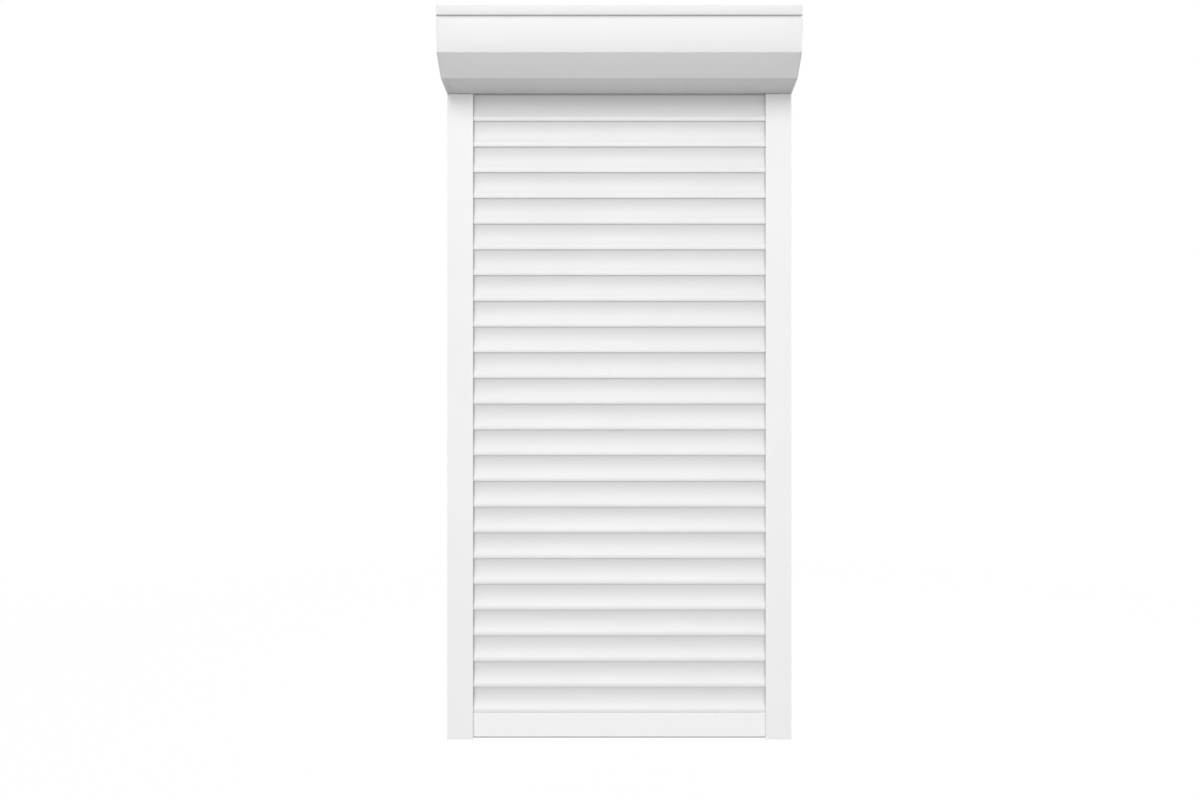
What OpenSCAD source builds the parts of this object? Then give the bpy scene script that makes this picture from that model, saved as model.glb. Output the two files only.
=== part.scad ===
// Exterior roller shutter: a slatted curtain in two side guides, wound by a motor in the box above.
// Millimetres. X runs across the shutter, +Y points at the wall and +Z is up.
// The origin is the centre of the footprint at sill level, so the wall plane lies at y = wall_y.
// Profiles are drawn as [distance from the wall, height] and carried along X.

/* [Shutter] */
// Width over the outer edges of both guides
shutter_w = 800; // [560:10:1400]
// Height of the guides, from the sill to the underside of the box
guide_h = 1500; // [600:10:1600]

/* [Box] */
// Height of the box above the guides
box_h = 150; // [140:1:220]
// Depth of the box, from the wall to its front
box_depth = 165; // [155:1:240]
// Thickness of the box sheets
sheet_t = 1.2; // [0.8:0.1:1.6]
// Outer radius of the bends in the box sheets
bend_r = 1.8; // [1.6:0.1:2.2]
// Thickness of the side cap plates
cap_t = 3; // [2:0.5:5]
// Length of the rims that carry the sheets on the side caps
rim_l = 14; // [10:1:20]
// Height of the front strip that hangs from the top sheet
strip_h = 21; // [16:1:30]
// Setback of the strip's lower edge from the front of the box
strip_lean = 2; // [0:0.5:3]
// Height of the groove between the strip and the front panel
groove_h = 8; // [4:0.5:9]
// Depth of that groove
groove_depth = 7; // [4.5:0.5:9]
// Height of the upper edge of the slanted face above the guides
chamfer_top_h = 50; // [44:1:64]
// Setback of that edge from the front of the box
panel_lean = 9; // [0:1:14]
// Distance from the wall to the lower edge of the slanted face
chamfer_foot_d = 105; // [90:1:125]
// Height of that lower edge above the guides
underside_rise = 10; // [4:1:16]

/* [Guides] */
// Width of a guide's face
guide_face = 60; // [54:1:80]
// Depth of a guide, from the wall to its face
guide_depth = 27; // [25:0.5:34]
// Wall thickness of the guide profile
guide_wall = 1.8; // [1.2:0.1:2.2]
// Depth of the channel that the curtain runs in
channel_depth = 34; // [32:1:40]
// Diameter of the fixing holes in the outer wall
fix_hole_d = 6; // [4:0.5:8]
// Diameter of the screwdriver holes in the inner web
access_hole_d = 12; // [10:0.5:14]
// Height of the lowest fixing hole, and distance of the highest one from the guide's top
fix_end = 150; // [80:5:200]
// Thickness of the foot plug's flange under the guide
foot_t = 2; // [1:0.5:4]

/* [Curtain] */
// Pitch of the slats
slat_pitch = 60; // [50:1:70]
// Distance from the hook line back to a slat's upper and lower edges
slat_edge_u = 4; // [3.8:0.1:4.5]
// How far a slat's back bulges behind those edges
slat_bulge = 4.5; // [3.5:0.1:5]
// How far a slat's top edge stands in front of its hook line
slat_top_u = 1.5; // [1.4:0.1:2]
// Radius of the hollow front face of a slat
face_r = 75; // [65:1:90]
// Height of the nose, where the hollow face ends, above the slat's lower edge
nose_h = 12; // [11:0.5:14]
// How far the slat stands in front of its hook line at that height
nose_u = 3.2; // [3:0.1:3.6]
// Radius of the nose
nose_r = 20; // [16:1:24]
// How far the slats reach into each channel
slat_reach = 24; // [20:1:26]
// Thickness of the end locks on the slats
lock_t = 3; // [2:0.5:4]
// Height of the end slat with its seal
end_slat_h = 60; // [55:1:90]
// Height of the seal under the end slat
seal_h = 4; // [3:0.5:6]
// Wall thickness of the hollow end slat
end_wall = 1.5; // [1.2:0.1:1.8]

/* [Axle] */
// Width of the octagonal axle tube across its flats
axle_w = 40; // [38:1:50]
// Wall thickness of the axle tube
axle_wall = 0.8; // [0.6:0.1:1]
// Diameter of the motor tube inside the axle
motor_d = 35; // [30:0.5:35]
// Length of the motor tube
motor_l = 400; // [300:10:420]
// Diameter of the idler pin
pin_d = 12; // [10:0.5:14]
// Outer diameter of the idler bearing
bearing_d = 28; // [26:0.5:32]
// Width of the idler bearing
bearing_w = 8; // [7:0.5:10]
// Width of the suspension straps
strap_w = 30; // [20:1:40]
// Thickness of the suspension straps
strap_t = 0.8; // [0.5:0.1:1]

/* [Hidden] */
$fn = 64;
fit = 0.2;       // gap between pieces that are pushed together
run_fit = 0.3;   // gap between pieces that move past each other
press_fit = 0.02; // gap on each side of pinned and pressed pieces
bond = 0.1;      // overlap of the shapes that make up one piece
skin = 1.2;      // thickness of the slat's folded walls

// Reference planes
wall_y = box_depth / 2;
half_w = shutter_w / 2;
box_z = guide_h;
box_top = box_z + box_h;
cap_in = half_w - cap_t;
lip_d = guide_depth + 1;       // front edge of the box mouth
sheet_l = cap_in - fit / 2;    // half length of the box sheets
groove_z = box_top - strip_h - groove_h;

// Guide profile, measured from the inner edge outwards
guide_in = half_w - guide_face;
web_a = channel_depth;
chamber_a = channel_depth + guide_wall;
brush_a = 2;         // first rib of the brush carriers
brush_w = 4.8;       // width of a brush carrier
rib_t = 1;           // thickness of a carrier rib
rib_h = 2.2;         // height of a carrier rib
rib_tip = 0.8;       // overhang of a carrier rib
backing_t = 0.9;     // thickness of the brush backing
pile_w = 2.2;        // thickness of the brush pile
fix_count = 4;
fix_step = (guide_h - 2 * fix_end) / (fix_count - 1);
fix_y = wall_y - guide_depth / 2;

// Curtain
slat_count = floor((guide_h - end_slat_h) / slat_pitch);
slat_l = guide_in + slat_reach;          // half length of a slat

// Slat profile as [in front of the hook line, above the lower edge]: a hollow face that is one arc,
// a nose that leaves it in line, and a back that is one bulging arc
slat_back = slat_edge_u + slat_bulge;
back_r = (pow(slat_pitch / 2, 2) + pow(slat_bulge, 2)) / (2 * slat_bulge);
back_c = [back_r - slat_back, slat_pitch / 2];
face_top = [slat_top_u, slat_pitch];
face_foot = [nose_u, nose_h];
face_chord = face_foot - face_top;
face_c = (face_top + face_foot) / 2
    - right_of(unit(face_chord)) * sqrt(pow(face_r, 2) - pow(norm(face_chord) / 2, 2));
nose_c = face_foot - unit(face_c - face_foot) * nose_r;
slat_front = nose_c[0] + nose_r;
face_low = face_c[0] - face_r;           // deepest point of the hollow face
slat_d = guide_depth / 2 - (slat_front - slat_back) / 2; // hook line's distance from the wall
joint_gap = 0.3;     // play between a slat's lower edge and the shoulder below it
hook_u = [slat_top_u - skin, slat_top_u]; // back and front of the hook's neck
hook_reach = 2.4;    // how far the hook reaches behind the hook line
hook_tip = 0.9;      // thickness of the hook's downturned tip
hook_low = 4.4;      // lower edge of that tip above the shoulder
hook_mid = 6;        // underside of the hook's flange
hook_top = 7.2;      // top of the hook
cave_h = 9;          // height of the cavity that takes the hook
catch_low = 0.6;     // underside of the catch in that cavity
catch_t = 1.2;       // thickness of the catch
catch_tip = 3.2;     // top of the catch's upturned tip
catch_u = [-1.2, -0.2];

// Axle line
axle_z = box_z + box_h / 2;
axle_in_w = axle_w - 2 * axle_wall;
collar_r = axle_w / 2 + 3;
collar_t = 3;
boss_l = bearing_w + 4;
boss_r = bearing_d / 2 + 4;
bearing_x = cap_in - boss_l;             // inner face of the bearing
tube_left = -(bearing_x - 15);
plug_l = 60;
pin_end = tube_left + plug_l - pin_d;
bracket_t = 6;
bracket_w = 60;
bracket_boss_l = 10;
bracket_x = cap_in - bracket_boss_l - bracket_t;
bracket_pitch = 46;
stub_w = 16;
screw_d = 5;
head_l = 20;
head_x = bracket_x - 1 - head_l;
tube_right = head_x - 1 - collar_t - fit;
motor_end = head_x - motor_l;
shaft_d = 10;
wheel_t = 18;
wheel_x = motor_end - 4 - wheel_t;
crown_l = 16;

// Idler bearing
ball_r = 2;
ball_count = 8;
ball_track_r = (pin_d / 2 + bearing_d / 2) / 2;
ring_t = (bearing_d - pin_d) / 2 * 0.36;
track_gap = 0.08;

// Straps
strap_x = guide_in * 0.6;
strap_gap = 0.3;
strap_slot_w = 3 * strap_t;
strap_slot_l = strap_w + 2;

slat_names = [for (i = [1:slat_count]) str("slat_", i < 10 ? "0" : "", i)];

// Carries a profile drawn as [distance from the wall, height] along X from x0 to x1.
module along_x(x0, x1) {
    translate([x0, 0, 0])
        rotate([90, 0, 90])
            linear_extrude(x1 - x0)
                translate([wall_y, 0])
                    mirror([1, 0])
                        children();
}

// Draws a shape made for the right-hand side on the left.
module on_left() {
    mirror([1, 0, 0]) children();
}

// A round bar on the axle line.
module axle_rod(x0, x1, r) {
    translate([x0, 0, axle_z])
        rotate([0, 90, 0])
            cylinder(h = x1 - x0, r = r);
}

// An octagonal bar on the axle line, w across its flats.
module axle_octagon(x0, x1, w) {
    translate([x0, 0, axle_z])
        rotate([0, 90, 0])
            rotate([0, 0, 22.5])
                cylinder(h = x1 - x0, r = w / 2 / cos(22.5), $fn = 8);
}

// A box from corner a to corner b in two dimensions.
module span(a, b) {
    translate(a) square(b - a);
}

// Unit vector along v, and v turned a quarter to the right.
function unit(v) = v / norm(v);
function right_of(v) = [v[1], -v[0]];

// Path with every inner corner rounded to radius r by an arc of a few chords.
function round_corner(a, b, c, r, steps = 5) =
    let (u = unit(a - b), v = unit(c - b), half = acos(u * v) / 2,
         cut = r / tan(half), centre = b + unit(u + v) * (r / sin(half)),
         from = b + u * cut - centre, to = b + v * cut - centre)
    [for (i = [0:steps])
        let (ray = from * (1 - i / steps) + to * i / steps)
        centre + unit(ray) * r];
function rounded(path, r) = [
    path[0],
    for (i = [1:len(path) - 2]) each round_corner(path[i - 1], path[i], path[i + 1], r),
    path[len(path) - 1]
];

// Path moved a distance to its right, with mitred corners.
function shifted(path, distance) = [
    for (i = [0:len(path) - 1])
        let (last = len(path) - 1, before = right_of(unit(path[max(i, 1)] - path[max(i, 1) - 1])),
             after = i < last ? right_of(unit(path[i + 1] - path[i])) : before,
             middle = unit(before + after))
        path[i] + middle * distance / (middle * before)
];
function backwards(path) = [for (i = [len(path) - 1:-1:0]) path[i]];

// Strip of thickness t to the right of a path, starting a distance inside it.
module strip(path, t, inset = 0) {
    polygon(concat(shifted(path, inset), backwards(shifted(path, inset + t))));
}

// Box sheets, as the outer lines that the folds follow
rear_lap = 12;
panel_hem = 7;
rear_path = [
    [0, box_z], [0, box_top - rear_lap - 2 * sheet_t],
    [sheet_t + fit, box_top - rear_lap], [sheet_t + fit, box_top - 2 * sheet_t]
];
strip_fold = groove_depth - sheet_t - 1;    // depth of the groove that the fold under the strip may take
strip_foot = [box_depth - max(0, min(strip_lean, strip_fold - 1.3 * bend_r)), box_top - strip_h];
top_path = [
    [0, box_top - rear_lap + 1], [0, box_top], [box_depth, box_top],
    strip_foot, [box_depth - strip_fold, box_top - strip_h]
];
panel_corners = [
    [box_depth, groove_z], [box_depth - panel_lean, box_z + chamfer_top_h],
    [chamfer_foot_d, box_z + underside_rise], [lip_d, box_z]
];
panel_path = concat(
    [[box_depth - groove_depth, box_top - strip_h + panel_hem], [box_depth - groove_depth, groove_z]],
    panel_corners,
    [[lip_d, box_z + panel_hem]]
);
cap_outline = concat(
    [[0, box_z], [0, box_top], [box_depth, box_top], strip_foot],
    [[box_depth - groove_depth, box_top - strip_h], [box_depth - groove_depth, groove_z]],
    panel_corners
);

module box_rear_sheet() {
    color("whitesmoke")
        along_x(-sheet_l, sheet_l) strip(rounded(rear_path, bend_r), sheet_t);
}

module box_top_sheet() {
    color("whitesmoke")
        difference() {
            along_x(-sheet_l, sheet_l) strip(rounded(top_path, bend_r), sheet_t);
            top_fixings(rivet_r + fit / 2);
        }
}

module box_front_panel() {
    color("whitesmoke")
        difference() {
            along_x(-sheet_l, sheet_l) strip(rounded(panel_path, bend_r), sheet_t);
            for (side = [-1, 1])
                panel_fixing(side)
                    cylinder(h = panel_screw_l, r = panel_screw_r + fit / 2, center = true);
        }
}

// Fixings of the sheets on the rims of the side caps
rivet_r = 2;
rivet_l = 5;
rivet_head_r = 4;
rivet_head_h = 1.2;
rivet_d = [box_depth * 0.3, box_depth * 0.75];
fix_x = cap_in - rim_l / 2;
panel_screw_r = 2;
panel_screw_l = 8;
panel_screw_head_r = 3.6;
panel_screw_head_h = 2;
underside_angle = atan2(underside_rise, chamfer_foot_d - lip_d);
panel_screw_d = (lip_d + chamfer_foot_d) / 2;

// Frame of a panel screw: on the outer face of the underside, with +Z pointing down out of the box.
module panel_fixing(side) {
    translate([side * fix_x, wall_y - panel_screw_d, box_z + underside_rise / 2])
        rotate([180 - underside_angle, 0, 0])
            children();
}

module top_fixings(r) {
    for (side = [-1, 1], d = rivet_d)
        translate([side * fix_x, wall_y - d, box_top - rivet_l - 1]) cylinder(h = rivet_l + 2, r = r);
}

module panel_screws() {
    color("gainsboro")
        for (side = [-1, 1])
            panel_fixing(side) {
                difference() {
                    cylinder(h = panel_screw_head_h, r = panel_screw_head_r);
                    for (turn = [0, 90])
                        rotate([0, 0, turn])
                            translate([-2, -0.4, panel_screw_head_h - 1]) cube([4, 0.8, 2]);
                }
                translate([0, 0, -panel_screw_l]) cylinder(h = panel_screw_l, r = panel_screw_r);
            }
}

module top_rivets() {
    color("gainsboro")
        for (side = [-1, 1], d = rivet_d)
            translate([side * fix_x, wall_y - d, box_top]) {
                rotate_extrude()
                    intersection() {
                        span([0, 0], [rivet_head_r, rivet_head_h]);
                        translate([0, rivet_head_h - rivet_head_r * 2]) circle(r = rivet_head_r * 2);
                    }
                translate([0, 0, -rivet_l]) cylinder(h = rivet_l, r = rivet_r);
            }
}

// Rims on the inner face of a side cap that the sheets lie on.
module cap_rims() {
    rim_t = 2;
    rim_top = box_top - sheet_t - fit;
    rim_back = 2 * (sheet_t + fit);
    rim_end = 4 * bend_r;
    rim_bend_r = bend_r + sheet_t + fit + rim_t;
    rim_path = rounded([
        panel_corners[0] + unit(panel_corners[1] - panel_corners[0]) * rim_end,
        panel_corners[1], panel_corners[2],
        panel_corners[3] + unit(panel_corners[2] - panel_corners[3]) * rim_end
    ], rim_bend_r);
    along_x(cap_in - rim_l, cap_in + bond) {
        strip(rim_path, rim_t, sheet_t + fit);
        span([rear_lap, rim_top - rim_t - 1], [box_depth - strip_h, rim_top]);
        span([rim_back, box_z + rear_lap], [rim_back + rim_t, box_top - 2 * rear_lap]);
    }
}

// The tongue of a side cap that plugs into the top of the guide's chamber.
tongue_l = 50;
tongue_root = 24;
module cap_tongue() {
    tongue_a = [chamber_a + fit + 1.5, guide_face - guide_wall - fit];
    tongue_d = [guide_wall + fit, guide_depth - guide_wall - fit];
    translate([guide_in + tongue_a[0], wall_y - tongue_d[1], box_z - tongue_l])
        cube([tongue_a[1] - tongue_a[0], tongue_d[1] - tongue_d[0], tongue_l]);
    along_x(guide_in + tongue_a[0], cap_in + bond)
        polygon([
            [tongue_d[0], box_z - bond], [tongue_d[1], box_z - bond],
            [tongue_d[1], box_z + tongue_root / 4],
            [tongue_d[0] + 4, box_z + tongue_root], [tongue_d[0], box_z + tongue_root]
        ]);
}

// A side cap for the right-hand side, without its bearing or motor seat.
module side_cap() {
    along_x(cap_in, half_w) polygon(rounded_ring(cap_outline, bend_r));
    difference() {
        cap_rims();
        panel_fixing(1)
            translate([0, 0, -panel_screw_l - 1])
                cylinder(h = panel_screw_l + 2, r = panel_screw_r + press_fit);
        top_fixings(rivet_r + press_fit);
    }
    cap_tongue();
}

// Closed outline with every corner rounded, apart from the two that meet the guide.
function rounded_ring(points, r) =
    let (n = len(points))
    [for (i = [0:n - 1])
        each (i == 0 || i == n - 1) ? [points[i]]
            : round_corner(points[i - 1], points[i], points[(i + 1) % n], r)];

module side_cap_left() {
    color("white")
        difference() {
            union() {
                on_left() side_cap();
                axle_rod(-cap_in - bond, -bearing_x, boss_r);
            }
            axle_rod(-bearing_x - bearing_w, -bearing_x + 1, bearing_d / 2 + press_fit);
            axle_rod(-cap_in, -bearing_x, bearing_d / 2 - ring_t);
        }
}

module side_cap_right() {
    color("white")
        difference() {
            union() {
                side_cap();
                bracket_places() cylinder(h = bracket_boss_l + bond, r = screw_d);
            }
            bracket_places()
                translate([0, 0, -1]) cylinder(h = bracket_boss_l, r = screw_d / 2 + press_fit);
        }
}

// The four screw places of the motor bracket: +Z runs outwards from the ends of the cap's bosses.
module bracket_places() {
    for (y = [-1, 1], z = [-1, 1])
        translate([cap_in - bracket_boss_l, y * bracket_pitch / 2, axle_z + z * bracket_pitch / 2])
            rotate([0, 90, 0])
                children();
}

// Section of the right-hand guide, seen from above: [from the inner edge outwards, from the wall].
module guide_section() {
    difference() {
        square([guide_face, guide_depth]);
        channel_room();
        span([chamber_a, guide_wall], [guide_face - guide_wall, guide_depth - guide_wall]);
    }
    brush_carrier();
    translate([0, guide_depth]) mirror([0, 1]) brush_carrier();
}

// The open channel that the curtain's edge runs in.
module channel_room() {
    span([-1, guide_wall], [web_a, guide_depth - guide_wall]);
}

// Two hooked ribs that hold a brush strip on the wall side of the channel.
module brush_carrier() {
    for (rib = [[brush_a, 0], [brush_a + rib_t + brush_w, -rib_tip]])
        translate([rib[0], guide_wall - bond]) {
            square([rib_t, rib_h + bond]);
            translate([rib[1], rib_h + bond - rib_tip]) square([rib_t + rib_tip, rib_tip]);
        }
}

// Carries a guide section, drawn as above, from height z0 to z1.
module along_guide(z0, z1) {
    translate([guide_in, wall_y, z0])
        linear_extrude(z1 - z0)
            mirror([0, 1])
                children();
}

module guide() {
    difference() {
        along_guide(foot_t, guide_h) guide_section();
        for (i = [0:fix_count - 1])
            translate([guide_in, fix_y, fix_end + i * fix_step])
                rotate([0, 90, 0]) {
                    wall_hole(web_a, access_hole_d);
                    wall_hole(guide_face - guide_wall, fix_hole_d);
                }
    }
}

// A hole through the guide wall that starts at a distance from the inner edge.
module wall_hole(a, d) {
    translate([0, 0, a - 1]) cylinder(h = guide_wall + 2, r = d / 2);
}

module guide_right() {
    color("white") guide();
}

module guide_left() {
    color("white") on_left() guide();
}

// Brush strips: a backing in each carrier and its pile, which ends short of the slats.
module guide_brush() {
    backing_a = [brush_a + rib_t + fit / 2, brush_a + rib_t + brush_w - fit / 2];
    middle = (backing_a[0] + backing_a[1]) / 2;
    back_pile = [guide_wall + fit, slat_d - slat_back - run_fit];
    front_pile = [slat_d + slat_front + run_fit, guide_depth - guide_wall - fit];
    for (pile = [back_pile, front_pile], side = [pile == back_pile ? 0 : 1])
        along_guide(foot_t, guide_h - 45) {
            span([middle - pile_w / 2, pile[0]], [middle + pile_w / 2, pile[1]]);
            translate([0, side == 0 ? pile[0] : pile[1] - backing_t])
                span([backing_a[0], 0], [backing_a[1], backing_t]);
        }
}

module guide_brush_right() {
    color("dimgray") guide_brush();
}

module guide_brush_left() {
    color("dimgray") on_left() guide_brush();
}

// The funnel at the top of a channel, which leads the slats in.
inlet_l = 40;
inlet_rise = 12;
inlet_flare = 2.5;
inlet_play = 1;
module guide_inlet() {
    inlet_a = [brush_a + 2 * rib_t + brush_w + fit + 0.4, web_a - fit];
    inlet_d = [guide_wall + fit, guide_depth - guide_wall - fit];
    floor_a = slat_reach + lock_t + 3;
    slot = [slat_d - slat_back - inlet_play, slat_d + slat_front + inlet_play];
    difference() {
        along_guide(guide_h - inlet_l, guide_h + inlet_rise)
            span([inlet_a[0], inlet_d[0]], [inlet_a[1], inlet_d[1]]);
        along_x(guide_in - 1, guide_in + floor_a)
            polygon([
                [slot[0], guide_h - inlet_l - 1], [slot[0], guide_h - inlet_rise],
                [slot[0] - inlet_flare, guide_h + inlet_rise + 1],
                [slot[1] + inlet_flare, guide_h + inlet_rise + 1],
                [slot[1], guide_h - inlet_rise], [slot[1], guide_h - inlet_l - 1]
            ]);
    }
}

module guide_inlet_right() {
    color("slategray") guide_inlet();
}

module guide_inlet_left() {
    color("slategray") on_left() guide_inlet();
}

// The plug that closes the foot of a guide's chamber, with a flange that leaves the channel open.
foot_plug_h = 12;
module guide_foot() {
    along_guide(0, foot_t)
        difference() {
            square([guide_face, guide_depth]);
            channel_room();
        }
    along_guide(foot_t - bond, foot_t + foot_plug_h)
        span([chamber_a + fit, guide_wall + fit],
            [guide_face - guide_wall - fit, guide_depth - guide_wall - fit]);
}

module guide_foot_right() {
    color("white") guide_foot();
}

module guide_foot_left() {
    color("white") on_left() guide_foot();
}

// The hook along the top of a slat, above a shoulder at height h.
module slat_hook(h) {
    span([hook_u[0], h - 1], [hook_u[1], h + hook_top]);
    span([-hook_reach, h + hook_mid], [hook_u[1], h + hook_top]);
    span([-hook_reach, h + hook_low], [-hook_reach + hook_tip, h + hook_mid + bond]);
}

// The slat's outline, moved in from its front and back by an inset.
module slat_outline(inset) {
    intersection() {
        translate(back_c) circle(r = back_r - inset, $fn = 400);
        union() {
            difference() {
                span([-slat_back, nose_h], [slat_front, slat_pitch]);
                translate(face_c) circle(r = face_r + inset, $fn = 400);
            }
            intersection() {
                span([-slat_back, -1], [slat_front, nose_h]);
                translate(nose_c) circle(r = nose_r - inset, $fn = 200);
            }
        }
    }
}

// The cavity along a slat's lower edge, with room for the hook of the slat below and a catch for it.
module hook_cavity() {
    difference() {
        intersection() {
            slat_outline(skin);
            span([-slat_back, -1], [slat_front, cave_h]);
        }
        span([-slat_back, catch_low], [catch_u[1], catch_low + catch_t]);
        span([catch_u[0], catch_low], [catch_u[1], catch_tip]);
    }
}

// The two hollow chambers above that cavity, with a rib between them.
module slat_chambers(shoulder) {
    rib = (cave_h + shoulder) / 2;
    intersection() {
        slat_outline(skin);
        union() {
            span([-slat_back, cave_h + skin], [slat_front, rib - skin / 2]);
            span([-slat_back, rib + skin / 2], [slat_front, shoulder - skin]);
        }
    }
}

// Section of a slat as [in front of the hook line, above its lower edge].
module slat_section() {
    shoulder = slat_pitch - joint_gap;
    difference() {
        intersection() {
            slat_outline(0);
            span([-slat_back, 0], [slat_front, shoulder]);
        }
        hook_cavity();
        slat_chambers(shoulder);
    }
    slat_hook(shoulder);
}

// Slats are counted from the top.
function slat_z(i) = end_slat_h + (slat_count - i) * slat_pitch;

module slat(i) {
    color("white")
        along_x(-slat_l, slat_l)
            translate([slat_d, slat_z(i)]) slat_section();
}

// Plastic plates on both ends of every slat, which keep the slats in line.
module slat_end_locks() {
    lock_h = [cave_h + 5, slat_pitch - cave_h - 5];
    lock_u = [-slat_edge_u - slat_bulge / 2, face_low];
    color("slategray")
        for (i = [1:slat_count], side = [-1, 1])
            along_x(side > 0 ? slat_l : -slat_l - lock_t, side > 0 ? slat_l + lock_t : -slat_l)
                translate([slat_d, slat_z(i)])
                    polygon([
                        [lock_u[0] + 1, lock_h[0]], [lock_u[1] - 1, lock_h[0]],
                        [lock_u[1], lock_h[0] + 1], [lock_u[1], lock_h[1] - 1],
                        [lock_u[1] - 1, lock_h[1]], [lock_u[0] + 1, lock_h[1]],
                        [lock_u[0], lock_h[1] - 1], [lock_u[0], lock_h[0] + 1]
                    ]);
}

// Section of the end slat: a hollow bar with a hook on top and a slot for the seal below.
seal_slot_w = 3;
seal_slot_h = 6;
seal_head_w = 6;
module end_slat_section() {
    top = end_slat_h - joint_gap;
    slot_top = seal_h + end_wall + seal_slot_h;
    middle = (slat_front - slat_back) / 2;
    difference() {
        union() {
            span([-slat_back, seal_h], [slat_front, top]);
            slat_hook(top);
        }
        span([-slat_back + end_wall, slot_top + end_wall], [slat_front - end_wall, (top + slot_top) / 2]);
        span([-slat_back + end_wall, (top + slot_top) / 2 + end_wall],
            [slat_front - end_wall, top - end_wall - 1]);
        span([middle - seal_slot_w / 2, seal_h - 1],
            [middle + seal_slot_w / 2, seal_h + end_wall + bond]);
        span([middle - seal_head_w / 2, seal_h + end_wall], [middle + seal_head_w / 2, slot_top]);
    }
}

module end_slat() {
    color("white")
        along_x(-slat_l, slat_l) translate([slat_d, 0]) end_slat_section();
}

module end_slat_plugs() {
    color("slategray")
        for (side = [-1, 1])
            along_x(side > 0 ? slat_l : -slat_l - lock_t, side > 0 ? slat_l + lock_t : -slat_l)
                translate([slat_d, 0])
                    span([-slat_back + 0.2, seal_h + 1], [slat_front - 0.2, end_slat_h - 2]);
}

// The rubber seal under the end slat, with its head in the slot and a rounded foot.
module end_seal() {
    middle = (slat_front - slat_back) / 2;
    foot_r = 3.6;
    color("dimgray")
        along_x(-slat_l, slat_l)
            translate([slat_d, 0]) {
                span([middle - seal_head_w / 2 + fit, seal_h + end_wall + fit],
                    [middle + seal_head_w / 2 - fit, seal_h + end_wall + seal_slot_h - 2]);
                span([middle - seal_slot_w / 2 + fit, seal_h - 1],
                    [middle + seal_slot_w / 2 - fit, seal_h + end_wall + 1]);
                intersection() {
                    span([middle - foot_r, 0], [middle + foot_r, seal_h - fit]);
                    translate([middle, foot_r]) circle(r = foot_r);
                }
            }
}

module axle_tube() {
    color("silver")
        difference() {
            axle_octagon(tube_left, tube_right, axle_w);
            axle_octagon(tube_left - 1, tube_right + 1, axle_in_w);
            for (side = [-1, 1])
                translate([side * strap_x, 0, axle_z + axle_w / 2 - axle_wall - 1])
                    translate([-strap_slot_l / 2, -strap_slot_w / 2, 0])
                        cube([strap_slot_l, strap_slot_w, axle_wall + 2]);
        }
}

module axle_end_plug() {
    color("slategray")
        difference() {
            union() {
                axle_octagon(tube_left - collar_t, tube_left + plug_l, axle_in_w - 2 * fit);
                axle_rod(tube_left - collar_t, tube_left - press_fit, collar_r);
            }
            axle_rod(tube_left - collar_t - 1, pin_end + fit, pin_d / 2 + press_fit);
        }
}

module axle_pin() {
    color("silver") axle_rod(-bearing_x - bearing_w + 0.5, pin_end, pin_d / 2);
}

// One ring of the bearing between radii r0 and r1, with the ball track cut into it.
module bearing_ring(r0, r1) {
    translate([-bearing_x - bearing_w / 2, 0, axle_z])
        rotate([0, 90, 0])
            rotate_extrude()
                difference() {
                    span([r0, -bearing_w / 2], [r1, bearing_w / 2]);
                    translate([ball_track_r, 0]) circle(r = ball_r + track_gap);
                }
}

module bearing_inner_ring() {
    color("silver") bearing_ring(pin_d / 2 + press_fit, pin_d / 2 + ring_t);
}

module bearing_outer_ring() {
    color("silver") bearing_ring(bearing_d / 2 - ring_t, bearing_d / 2);
}

module bearing_balls() {
    color("gainsboro")
        for (i = [0:ball_count - 1])
            translate([-bearing_x - bearing_w / 2, 0, axle_z])
                rotate([i * 360 / ball_count, 0, 0])
                    translate([0, 0, ball_track_r]) sphere(r = ball_r);
}

module motor_bracket() {
    color("silver")
        difference() {
            translate([bracket_x, -bracket_w / 2, axle_z - bracket_w / 2])
                cube([bracket_t, bracket_w, bracket_w]);
            translate([bracket_x - 1, -stub_w / 2 - fit / 2, axle_z - stub_w / 2 - fit / 2])
                cube([bracket_t + 2, stub_w + fit, stub_w + fit]);
            bracket_places()
                translate([0, 0, -bracket_t - 1]) cylinder(h = bracket_t + 2, r = screw_d / 2 + fit);
        }
}

module bracket_screws() {
    head_h = 3;
    color("gainsboro")
        bracket_places() {
            translate([0, 0, -bracket_t - head_h]) cylinder(h = head_h, r = screw_d * 0.9);
            translate([0, 0, -bracket_t - bond])
                cylinder(h = bracket_t + bracket_boss_l - 2, r = screw_d / 2);
        }
}

module motor_head() {
    color("slategray") {
        axle_rod(head_x, head_x + head_l, axle_w / 2 + 2);
        translate([head_x + head_l - bond, -stub_w / 2, axle_z - stub_w / 2])
            cube([bracket_x + bracket_t - head_x - head_l + bond, stub_w, stub_w]);
    }
}

module motor_tube() {
    color("silver") axle_rod(motor_end, head_x, motor_d / 2);
}

module motor_shaft() {
    color("gainsboro") axle_rod(wheel_x, motor_end - run_fit, shaft_d / 2);
}

// The wheel on the motor's shaft that turns the axle.
module drive_wheel() {
    color("slategray")
        difference() {
            axle_octagon(wheel_x, wheel_x + wheel_t, axle_in_w - 2 * fit);
            axle_rod(wheel_x - 1, wheel_x + wheel_t + 1, shaft_d / 2 + press_fit);
        }
}

// The ring that carries the axle's driven end on the motor tube and reads its turns.
module crown_wheel() {
    color("slategray")
        difference() {
            union() {
                axle_octagon(tube_right - crown_l, tube_right + collar_t, axle_in_w - 2 * fit);
                axle_rod(tube_right + press_fit, tube_right + collar_t, collar_r);
            }
            axle_rod(tube_right - crown_l - 1, tube_right + collar_t + 1, motor_d / 2 + run_fit);
        }
}

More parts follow.
